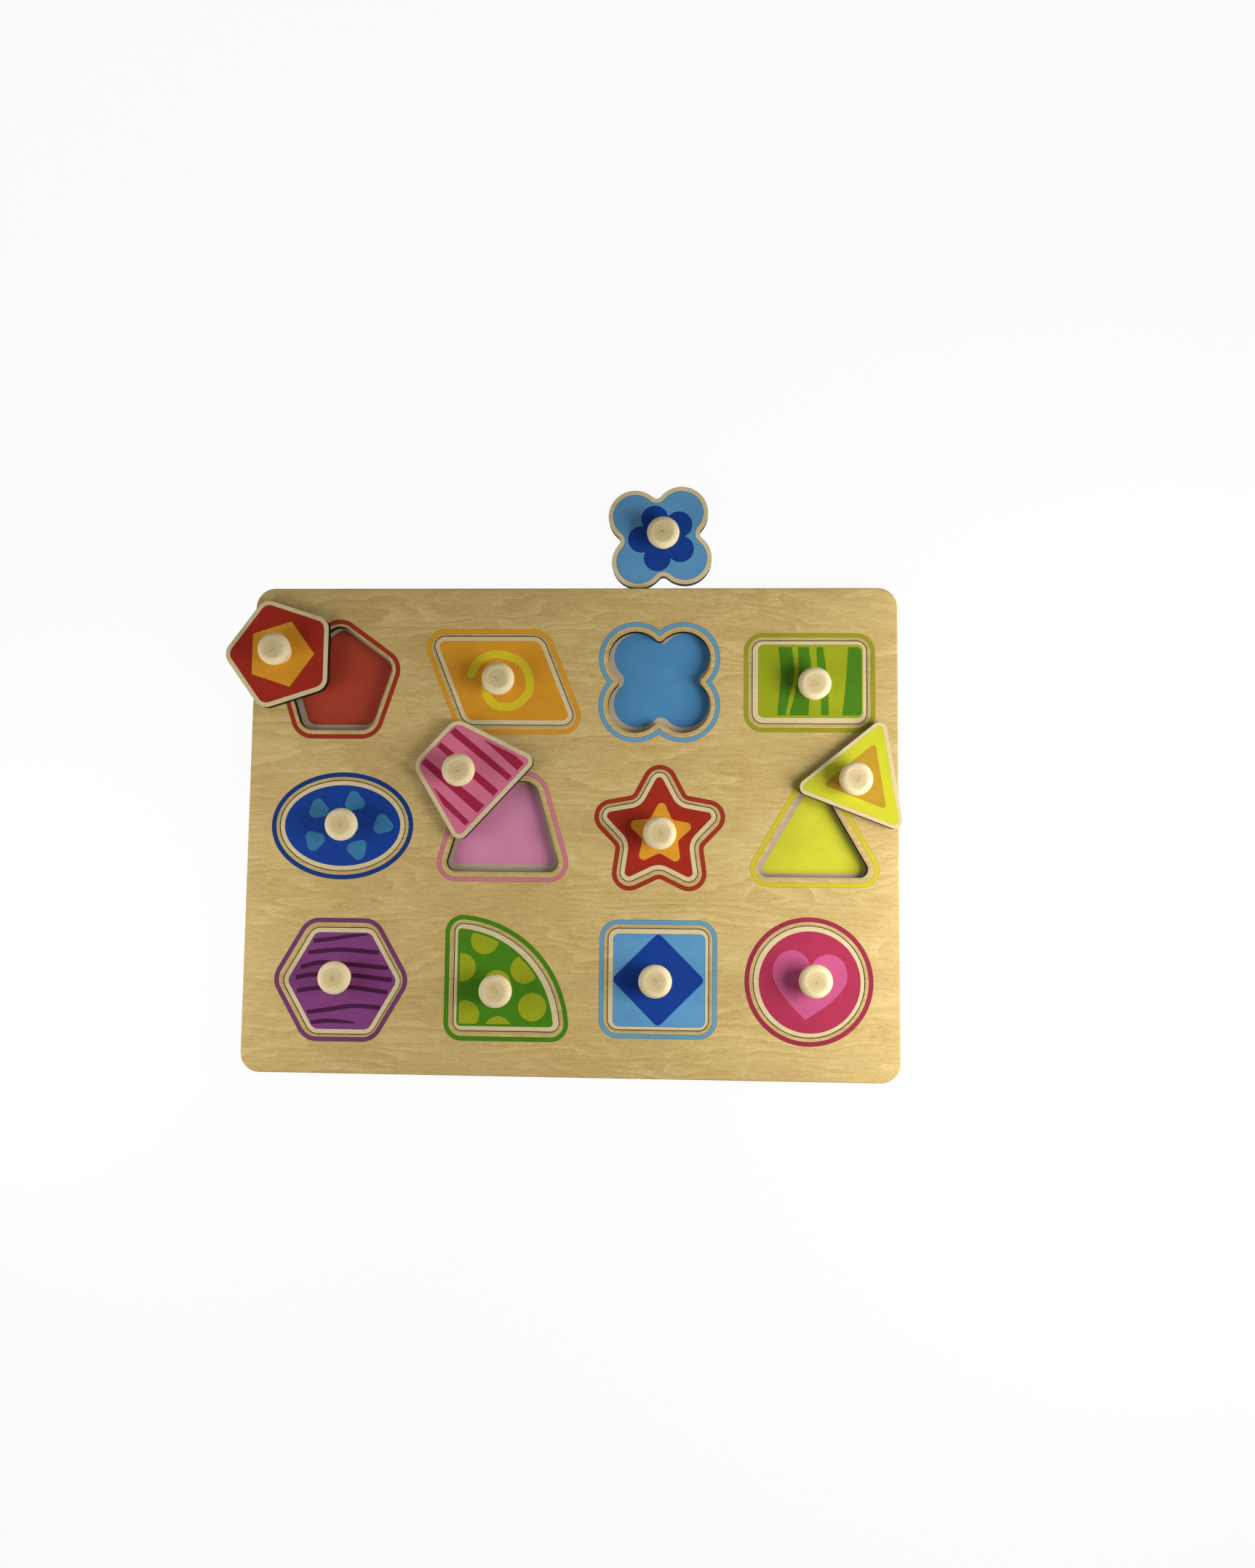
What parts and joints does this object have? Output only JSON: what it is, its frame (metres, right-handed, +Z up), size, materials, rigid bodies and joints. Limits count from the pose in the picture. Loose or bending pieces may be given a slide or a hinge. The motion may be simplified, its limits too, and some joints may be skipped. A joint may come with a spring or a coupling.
{
  "type": "peg puzzle",
  "caption": "Flat wooden shape-sorting board with shaped recesses and printed tiles that lift out by turned wooden pegs.",
  "frame": {"origin": "middle of the board's underside", "axes": "+X along the board's long side to the right, +Y across it away from the viewer, +Z up out of the printed face"},
  "size_m": [0.4169, 0.3653, 0.0288],
  "materials": {
    "board_veneer": "pale birch-like veneer, flat lacquer",
    "backing_ply": "bare thin plywood",
    "peg_wood": "turned pale wood, bare",
    "pentagon_print": "plywood tile with charred edges, face printed red inside a bare border",
    "parallelogram_print": "plywood tile with charred edges, face printed orange inside a bare border",
    "flower_print": "plywood tile with charred edges, face printed light blue inside a bare border",
    "rectangle_print": "plywood tile with charred edges, face printed lime inside a bare border",
    "ellipse_print": "plywood tile with charred edges, face printed dark blue inside a bare border",
    "trapezoid_print": "plywood tile with charred edges, face printed pink inside a bare border",
    "star_print": "plywood tile with charred edges, face printed red inside a bare border",
    "triangle_print": "plywood tile with charred edges, face printed yellow inside a bare border",
    "hexagon_print": "plywood tile with charred edges, face printed purple inside a bare border",
    "quarter_print": "plywood tile with charred edges, face printed green inside a bare border",
    "square_print": "plywood tile with charred edges, face printed light blue inside a bare border",
    "circle_print": "plywood tile with charred edges, face printed magenta inside a bare border"
  },
  "bodies": {
    "board": {"frame_panel": "board_veneer", "backing_panel": "backing_ply"},
    "pentagon_piece": {"pentagon_tile": "pentagon_print", "pentagon_peg": "peg_wood"},
    "parallelogram_piece": {"parallelogram_tile": "parallelogram_print", "parallelogram_peg": "peg_wood"},
    "flower_piece": {"flower_tile": "flower_print", "flower_peg": "peg_wood"},
    "rectangle_piece": {"rectangle_tile": "rectangle_print", "rectangle_peg": "peg_wood"},
    "ellipse_piece": {"ellipse_tile": "ellipse_print", "ellipse_peg": "peg_wood"},
    "trapezoid_piece": {"trapezoid_tile": "trapezoid_print", "trapezoid_peg": "peg_wood"},
    "star_piece": {"star_tile": "star_print", "star_peg": "peg_wood"},
    "triangle_piece": {"triangle_tile": "triangle_print", "triangle_peg": "peg_wood"},
    "hexagon_piece": {"hexagon_tile": "hexagon_print", "hexagon_peg": "peg_wood"},
    "quarter_piece": {"quarter_tile": "quarter_print", "quarter_peg": "peg_wood"},
    "square_piece": {"square_tile": "square_print", "square_peg": "peg_wood"},
    "circle_piece": {"circle_tile": "circle_print", "circle_peg": "peg_wood"}
  },
  "joints": [
    {"name": "pentagon_lift", "type": "slide", "parent": "board", "child": "pentagon_piece", "axis": [0, 0, 1], "range_m": [0, 0.04]},
    {"name": "parallelogram_lift", "type": "slide", "parent": "board", "child": "parallelogram_piece", "axis": [0, 0, 1], "range_m": [0, 0.04]},
    {"name": "flower_lift", "type": "slide", "parent": "board", "child": "flower_piece", "axis": [0, 0, 1], "range_m": [0, 0.04]},
    {"name": "rectangle_lift", "type": "slide", "parent": "board", "child": "rectangle_piece", "axis": [0, 0, 1], "range_m": [0, 0.04]},
    {"name": "ellipse_lift", "type": "slide", "parent": "board", "child": "ellipse_piece", "axis": [0, 0, 1], "range_m": [0, 0.04]},
    {"name": "trapezoid_lift", "type": "slide", "parent": "board", "child": "trapezoid_piece", "axis": [0, 0, 1], "range_m": [0, 0.04]},
    {"name": "star_lift", "type": "slide", "parent": "board", "child": "star_piece", "axis": [0, 0, 1], "range_m": [0, 0.04]},
    {"name": "triangle_lift", "type": "slide", "parent": "board", "child": "triangle_piece", "axis": [0, 0, 1], "range_m": [0, 0.04]},
    {"name": "hexagon_lift", "type": "slide", "parent": "board", "child": "hexagon_piece", "axis": [0, 0, 1], "range_m": [0, 0.04]},
    {"name": "quarter_lift", "type": "slide", "parent": "board", "child": "quarter_piece", "axis": [0, 0, 1], "range_m": [0, 0.04]},
    {"name": "square_lift", "type": "slide", "parent": "board", "child": "square_piece", "axis": [0, 0, 1], "range_m": [0, 0.04]},
    {"name": "circle_lift", "type": "slide", "parent": "board", "child": "circle_piece", "axis": [0, 0, 1], "range_m": [0, 0.04]}
  ]
}
